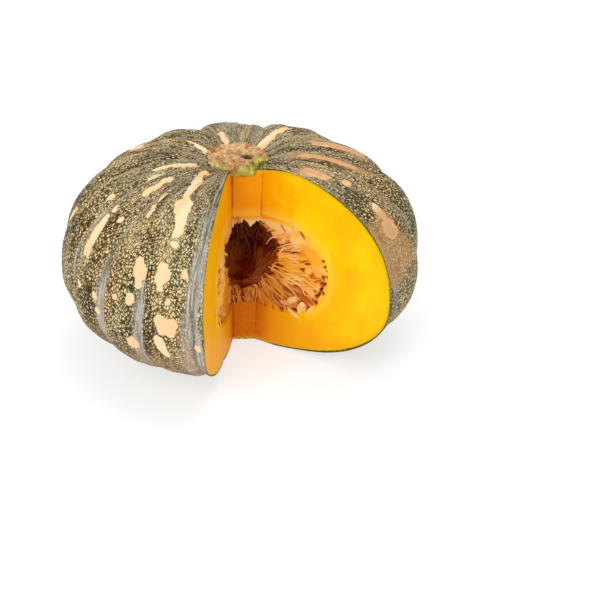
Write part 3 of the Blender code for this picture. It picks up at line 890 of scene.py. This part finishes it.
def make_pulp():
    """The stringy lining of the cavity: its cut faces are ridged, pitted and ragged, its middle is hollow."""
    pulp = new_sphere("pumpkin_pulp", PULP_COLUMNS, PULP_RINGS)
    put_points(pulp, cavity_points(*sphere_angles(pulp), grow=0.5 * MM))
    hollow = new_sphere("hollow", FINE_COLUMNS, FINE_RINGS)
    put_points(hollow, hollow_points(*sphere_angles(hollow)))
    subtract(pulp, hollow)
    subtract(pulp, make_knife("pulp_knife", pulp_relief, 80 * MM, 20 * MM, 104 * MM, PULP_KNIFE_CUTS))
    soak(pulp)
    finish_piece(pulp, ["pulp"], sharp_angle=60)


def on_cut(side, reach, height, lift):
    """Places over a long cut face, with every length in mm."""
    return face_points(side, reach * MM, height * MM) + face_normal(side) * lift[:, None] * MM


def face_strand(draw, side):
    """One wet strand on a cut face, from near the hollow's edge outwards: its points and half widths."""
    centre_s, centre_z = FIBRE_CENTRES[side]
    while True:
        angle = math.radians(draw.uniform(-75, 75 if draw.random() < 0.35 else 10))
        start = draw.uniform(18, 50)
        length = draw.uniform(7, 26)
        cosine, sine = math.cos(angle), math.sin(angle)
        ends = np.array([start, start + length])
        reach, height = centre_s + cosine * ends, centre_z + sine * ends
        if min(reach) > 1.5 and min(cavity_gap(side, reach, height)) > 2.0:
            break
    sway, phase = draw.uniform(0.4, 2.4), draw.uniform(0, math.tau)
    thick = draw.uniform(0.25, 0.9)
    share = np.linspace(0, 1, 12)
    turn = sway * (np.sin(phase + 4.2 * share) + 0.12 * np.sin(2.7 * phase + 9 * share))
    distance = start + length * share
    reach = centre_s + cosine * distance - sine * turn
    height = centre_z + sine * distance + cosine * turn
    widths = thick * (0.25 + 0.75 * np.sin(math.pi * np.clip(share, 0.04, 0.96)) ** 0.5)
    return on_cut(side, reach, height, 0.7 * np.sin(math.pi * share) - 0.5), widths


def wall_strand(draw):
    """One strand that hangs down the hollow's wall."""
    azimuth = draw.uniform(0, math.tau)
    top, bottom = draw.uniform(0.1, 1.3), draw.uniform(-1.2, 0.0)
    drift, phase = draw.uniform(-0.35, 0.35), draw.uniform(0, math.tau)
    inset = draw.uniform(0.5, 4.0)
    thick = draw.uniform(0.3, 0.8)
    share = np.linspace(0, 1, 16)
    turn = azimuth + drift * share + 0.08 * np.sin(phase + 7 * share)
    places = hollow_points(turn, top + (bottom - top) * share, detail=0.0)
    sag = inset * MM * np.sin(math.pi * share)
    places[:, :2] *= (1 - sag / np.maximum(off_axis(places), 5 * MM))[:, None]
    return places, thick * (0.3 + 0.7 * np.sin(math.pi * share) ** 0.5)


def fringe_strand(draw, side):
    """One short loose end that hangs over the hollow's edge at a cut face."""
    latitude = draw.uniform(-1.1, 1.2)
    turn = draw.uniform(0.0, 0.25) * (-1, 1)[side]
    azimuth = math.radians((LEFT_FACE_AZIMUTH, RIGHT_FACE_AZIMUTH)[side]) + turn
    wall = hollow_points(np.array([azimuth]), np.array([latitude]), detail=0.0)[0]
    side_gap = draw.uniform(2.0, 9.0)
    inwards = unit(np.array([-wall[0], -wall[1], (HOLLOW_CENTRE - wall[2]) * 0.6]))
    length = draw.uniform(3, 11) * MM
    sag = draw.uniform(0, 4) * MM
    thick = draw.uniform(0.25, 0.6)
    share = np.linspace(0, 1, 8)[:, None]
    places = wall + inwards * (length * share - 2 * MM) - np.array([0, 0, sag]) * share ** 2
    places = places - face_normal(side) * side_gap * MM * (1 - 0.3 * share)
    return places, thick * (1 - 0.75 * share[:, 0])


def core_strand(draw):
    """One strand that hangs from the hollow's lower edge down over the narrow cut face."""
    top, bottom = draw.uniform(33, 41), draw.uniform(23.5, 30)
    left, right = [core_corner(side, np.array([top * MM]))[0, 0] / MM for side in (0, 1)]
    across, drift = draw.uniform(left + 1, right - 1), draw.uniform(-2.5, 2.5)
    phase, thick = draw.uniform(0, math.tau), draw.uniform(0.3, 1.0)
    share = np.linspace(0, 1, 12)
    x = across + drift * share + 0.7 * np.sin(phase + 6 * share)
    lift = 1.1 * np.sin(math.pi * share) - 0.4
    places = np.stack([x, CORE_FRONT / MM - lift, top + (bottom - top) * share], -1) * MM
    return places, thick * (1 - 0.7 * share)


def make_strands():
    """All loose strands of the pulp, each a round tapering thread, as one piece."""
    draw = np.random.default_rng(61)
    rules = (
        (72, face_strand, 1), (44, face_strand, 0), (30, core_strand), (110, wall_strand),
        (45, fringe_strand, 0), (45, fringe_strand, 1),
    )
    threads = [make(draw, *side) for count, make, *side in rules for _ in range(count)]
    threads = [thread for thread in threads if inside_pumpkin(thread[0])]
    curve = bpy.data.curves.new("pulp_strands", 'CURVE')
    curve.dimensions = '3D'
    curve.bevel_depth = MM
    curve.bevel_resolution = 1
    curve.use_fill_caps = True
    for points, widths in threads:
        spline = curve.splines.new('POLY')
        spline.points.add(len(points) - 1)
        for point, place, width in zip(spline.points, points, widths):
            point.co = (*place, 1)
            point.radius = width
    strands = bpy.data.objects.new("pulp_strands", curve)
    bpy.context.scene.collection.objects.link(strands)
    only(strands)
    bpy.ops.object.convert(target='MESH')
    strands = newest("pulp_strands")
    soak(strands)
    finish_piece(strands)


def inside_pumpkin(places):
    """Whether a strand stays in the cavity and off the missing wedge."""
    level = off_axis(places) / CAVITY_RADIUS
    rise = np.abs(places[:, 2] - CAVITY_CENTRE) / CAVITY_HALF_HEIGHT
    inside = (level ** CAVITY_ROUNDNESS + rise ** CAVITY_ROUNDNESS).max() < 1
    return inside and depth_behind_cut(places).min() > -1.6 * MM


def make_seeds():
    """Flat oval seeds with a thin rim, half buried in the pulp, as one piece."""
    seeds = []
    for side, reach, height, lean, lift in SEEDS:
        seed = new_sphere("seed", 28, 16)
        x, y, z = points_of(seed).T
        taper = 1 - 0.28 * np.clip(x, 0, 1) ** 2
        flat = np.hypot(x, y)
        rim = 1 - 0.35 * smooth_step(0.62, 0.8, flat) + 0.12 * smooth_step(0.86, 0.97, flat)
        local = np.stack([x * SEED_LENGTH / 2, y * taper * SEED_WIDTH / 2, z * rim * SEED_THICKNESS / 2], -1)
        turn = math.radians(lean)
        out = face_normal(side)
        along = face_direction(side) * math.cos(turn) + np.array([0, 0, 1]) * math.sin(turn)
        tip = unit(along + out * 0.15)
        wide = np.cross(out, tip) * 0.87 + out * 0.5
        wide = unit(wide - tip * (wide @ tip))
        thin = np.cross(tip, wide)
        place = on_cut(side, *np.array([[reach], [height], [lift - SEED_SINK]]))[0]
        put_points(seed, place + local @ np.stack([tip, wide, thin]))
        seeds.append(seed)
    only(seeds[0])
    for seed in seeds:
        seed.select_set(True)
    bpy.ops.object.join()
    piece = newest("pumpkin_seeds")
    dress(piece, make_seed_material())
    finish_piece(piece)


def make_cork_material():
    """Dry tan cork on top, yellow green low down and at the front."""
    cork = Finish("dry cork")
    place = cork.place()
    lumps = cork.noise(place, 150, 5.0, 0.65)
    lines = cork.noise(place, 420, 4.0, 0.6)
    seam = cork.calculate('ABSOLUTE', cork.calculate('SUBTRACT', lines, 0.5))
    strips = cork.ramp(cork.noise(place, 260, upright=0.2), 0.5, 0.66)
    green = cork.mix("#8f8420", "#c9c056", cork.ramp(lumps, 0.35, 0.65))
    skin = cork.paint(
        "#b37e46",
        ("#e3c08a", cork.ramp(lumps, 0.36, 0.64)),
        ("#8a5626", cork.ramp(seam, 0.05, 0.0), 0.55),
        ("#f4dfc0", cork.ramp(lines, 0.56, 0.66), 0.6),
        (cork.mix(green, "#dcd48c", strips, 0.6), cork.ramp(cork.read("green"), -6.0, 10.0)),
        # painted shade: darker brown towards the middle of the stem's pit
        ("#5e3812", cork.ramp(cork.read("pit"), 5.2, 2.2)),
    )
    return cork.close(skin, 0.8, 0.25, (cork.plus(lines, lumps, 1.5), 0.9, 1.4 * MM))


def make_pulp_material():
    """Moist orange pulp: pale membranes at the cut, and painted shade that makes it red brown in its pockets
    and darker in the hollow.
    """
    pulp = Finish("moist pulp")
    place = pulp.place()
    cut_depth = pulp.read("cut_depth")
    height = pulp.axis(place, "Z")
    patches = pulp.noise(place, 60)
    streaks = pulp.noise(place, 260, upright=2)
    low = pulp.ramp(pulp.plus(height, patches, 30 * MM), 74 * MM, 48 * MM)
    membrane = pulp.ramp(height, 66 * MM, 78 * MM)
    # painted shade: the hollow's colour, red brown with lighter patches
    hollow_shade_tone = pulp.mix("#a83008", "#e07818", pulp.ramp(patches, 0.42, 0.58))
    # where the painted shade in the hollow is lighter, over lumps
    lumps = pulp.ramp(pulp.noise(place, 45), 0.51, 0.6)
    tone = pulp.paint(
        "#f8b032",
        ("#ffcc70", pulp.ramp(patches, 0.38, 0.6)),
        ("#ee9828", pulp.ramp(streaks, 0.5, 0.68), 0.45),
        ("#dc8416", low, 0.75),
        ("#a8480a", pulp.ramp(pulp.noise(place, 120), 0.5, 0.62), low, 0.7),
        ("#f6d090", membrane, pulp.ramp(patches, 0.4, 0.52), 0.6),
        (flesh_tone_and_shade(pulp, place), pulp.ramp(pulp.read("flesh_gap"), 4.0, 1.0)),
        # painted shade: red brown in the pockets and crevices, then the hollow's colour, darkest far back in
        # the hollow and lighter over lumps
        ("#c85c08", pulp.ramp(cut_depth, 0.4, 1.8)),
        ("#9a3405", pulp.ramp(cut_depth, 1.6, 3.8)),
        (hollow_shade_tone, pulp.ramp(cut_depth, 4.0, 9.0)),
        ("#7c1c06", pulp.ramp(cut_depth, 20.0, 55.0)),
        ("#d8701c", lumps, 0.8, pulp.ramp(cut_depth, 6.0, 10.0)),
    )
    return pulp.close(tone, 0.38, 0.4, (streaks, 0.4, 0.5 * MM), soft=(0.05, (1.0, 0.45, 0.08), 2 * MM))


def make_seed_material():
    """Smooth cream seed coat with a faint wet film."""
    coat = Finish("seed coat")
    stain = coat.ramp(coat.noise(coat.place(), 170), 0.35, 0.65)
    return coat.close(coat.mix("#fbdc9c", "#efb562", stain), 0.35, soft=(0.08, (1.0, 0.6, 0.3), 1.5 * MM))


# The camera: a long lens above the table, aimed a little past the fruit so that it stands left of centre
PHOTO_WIDTH = 600
SENSOR = 36.0
LENS = 105.6
CAMERA_DISTANCE = 1.2
CAMERA_ELEVATION = 27.53
TARGET = Vector((0, 0, 0.066))
TARGET_PIXEL = (242.0, 246.3)

# The light: the floor glows, so that it is nearly white under soft shadows; the softboxes' power is in watts
FLOOR_GLOW = 0.66
SKY_STRENGTH = 0.62
FRONT_POWER = 20
TOP_POWER = 19


def aimed_object(name, data, place, aim):
    """A camera or lamp at a place, turned towards a point."""
    item = bpy.data.objects.new(name, data)
    bpy.context.scene.collection.objects.link(item)
    item.location = place
    item.rotation_mode = 'QUATERNION'
    item.rotation_quaternion = (Vector(aim) - Vector(place)).to_track_quat('-Z', 'Y')
    return item


def make_camera():
    """The camera at the photograph's height and distance."""
    data = bpy.data.cameras.new("camera")
    data.lens, data.sensor_width = LENS, SENSOR
    tilt = math.radians(CAMERA_ELEVATION)
    back = Vector((0, -math.cos(tilt), math.sin(tilt)))
    right, up = Vector((1, 0, 0)), Vector((0, math.sin(tilt), math.cos(tilt)))
    per_pixel = CAMERA_DISTANCE * SENSOR / LENS / PHOTO_WIDTH
    across, down = [(PHOTO_WIDTH / 2 - pixel) * per_pixel for pixel in TARGET_PIXEL]
    aim = TARGET + right * across - up * down
    bpy.context.scene.camera = aimed_object("camera", data, TARGET + back * CAMERA_DISTANCE, aim)


def add_softbox(name, place, aim, size, power):
    """One large soft lamp turned towards a point."""
    data = bpy.data.lights.new(name, 'AREA')
    data.shape, data.size, data.energy = 'SQUARE', size, power
    aimed_object(name, data, place, aim)


def make_studio():
    """A white floor, two softboxes and a bright even surround."""
    bpy.ops.mesh.primitive_plane_add(size=30, location=(0, 0, 0))
    floor = newest("floor")
    white = Finish("white floor")
    white.put(white.shader, {"Emission Color": colour("#ffffff"), "Emission Strength": FLOOR_GLOW})
    dress(floor, white.close(colour("#a6a6a6"), 0.9, 0.1))
    middle = (0, 0, 0.06)
    add_softbox("front softbox", (-0.9, -1.5, 1.5), middle, 1.2, FRONT_POWER)
    add_softbox("top softbox", (0.3, 0.5, 1.9), middle, 1.6, TOP_POWER)
    world = bpy.data.worlds.new("surround")
    bpy.context.scene.world = world
    world.use_nodes = True
    sky = world.node_tree.nodes["Background"].inputs
    sky["Color"].default_value = (1, 1, 1, 1)
    sky["Strength"].default_value = SKY_STRENGTH


bpy.context.scene.view_settings.view_transform = 'Standard'
make_camera()
make_studio()
make_fruit()
make_stem()
make_pulp()
make_strands()
make_seeds()
